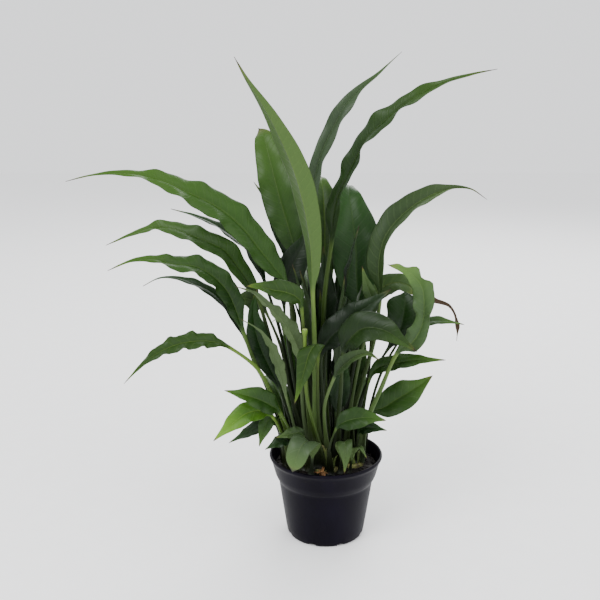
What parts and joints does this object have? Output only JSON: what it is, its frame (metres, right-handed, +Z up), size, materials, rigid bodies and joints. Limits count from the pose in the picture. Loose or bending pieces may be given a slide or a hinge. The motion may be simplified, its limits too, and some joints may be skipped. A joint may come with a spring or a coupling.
{
  "type": "potted peace lily",
  "caption": "Young peace lily with no flowers: long-stalked pointed leaves arch in all directions from crowns in dark soil, in a round black nursery pot that stands on its flat base.",
  "frame": {"origin": "centre of the flat underside of the pot, on the surface that it stands on", "axes": "+Z up; -Y towards the front of the plant, the side that is usually seen; +X to the right as seen from the front"},
  "size_m": [0.4082, 0.3044, 0.5032],
  "materials": {
    "pot_plastic": "thin black nursery-pot plastic, satin, lightly scuffed",
    "potting_soil": "moist dark peat with fibres and small lumps, matt",
    "crown_tissue": "fleshy pale green rootstock",
    "dry_husk": "papery orange-brown dry sheath",
    "leaf_bright": "young yellow-green leaf, satin",
    "leaf_green": "mid green leaf, glossy, with side veins",
    "leaf_dark": "dark green leaf, glossy",
    "leaf_grey": "grey-green leaf underside, matt",
    "leaf_dry": "withering brown-green leaf, matt"
  },
  "bodies": {
    "root": {"pot": "pot_plastic", "soil": "potting_soil", "crown_left": "crown_tissue", "crown_middle": "crown_tissue", "crown_right": "crown_tissue", "crown_back": "crown_tissue", "dry_sheath": "dry_husk", "cut_stalk": "leaf_bright", "leaf_spire": "leaf_bright", "leaf_broad_left": "leaf_green", "leaf_tall_right": "leaf_green", "leaf_tall_middle": "leaf_green", "leaf_back_centre": "leaf_bright", "leaf_broad_right": "leaf_dark", "leaf_grey_right": "leaf_grey", "leaf_centre_shade": "leaf_dark", "leaf_behind_left": "leaf_dark", "leaf_long_left": "leaf_green", "leaf_under_left": "leaf_dark", "leaf_second_left": "leaf_green", "leaf_third_left": "leaf_green", "leaf_fourth_left": "leaf_dark", "leaf_arm_left": "leaf_bright", "leaf_dark_left": "leaf_dark", "leaf_grey_back_left": "leaf_grey", "leaf_front_grey_left": "leaf_grey", "leaf_inner_grey_left": "leaf_grey", "leaf_centre_fold": "leaf_bright", "leaf_bright_small": "leaf_bright", "leaf_dark_centre": "leaf_dark", "leaf_dark_inner": "leaf_dark", "leaf_arch_right": "leaf_green", "leaf_curl_right": "leaf_bright", "leaf_hook_centre": "leaf_grey", "leaf_point_right_high": "leaf_green", "leaf_point_right_low": "leaf_green", "leaf_front_low_right": "leaf_green", "leaf_front_small_right": "leaf_grey", "leaf_front_small_left": "leaf_bright", "leaf_low_left_top": "leaf_green", "leaf_low_left_bright": "leaf_bright", "leaf_low_left_dark": "leaf_dark", "leaf_low_left_drop": "leaf_green", "leaf_rim_left": "leaf_dark", "leaf_low_left_pale": "leaf_grey", "leaf_grey_inner_right": "leaf_grey", "leaf_withered_right": "leaf_dry", "leaf_thin_right": "leaf_green", "leaf_round_right": "leaf_dark", "leaf_low_right_dark": "leaf_dark", "leaf_soil_right": "leaf_grey", "leaf_inner_right": "leaf_dark", "leaf_inner_left": "leaf_dark", "leaf_rear_centre": "leaf_green", "leaf_rear_right": "leaf_green", "leaf_rear_left": "leaf_green", "leaf_rear_inner_right": "leaf_green", "leaf_rear_inner_left": "leaf_green", "leaf_rear_low_right": "leaf_green", "leaf_rear_low_left": "leaf_green"}
  },
  "joints": []
}
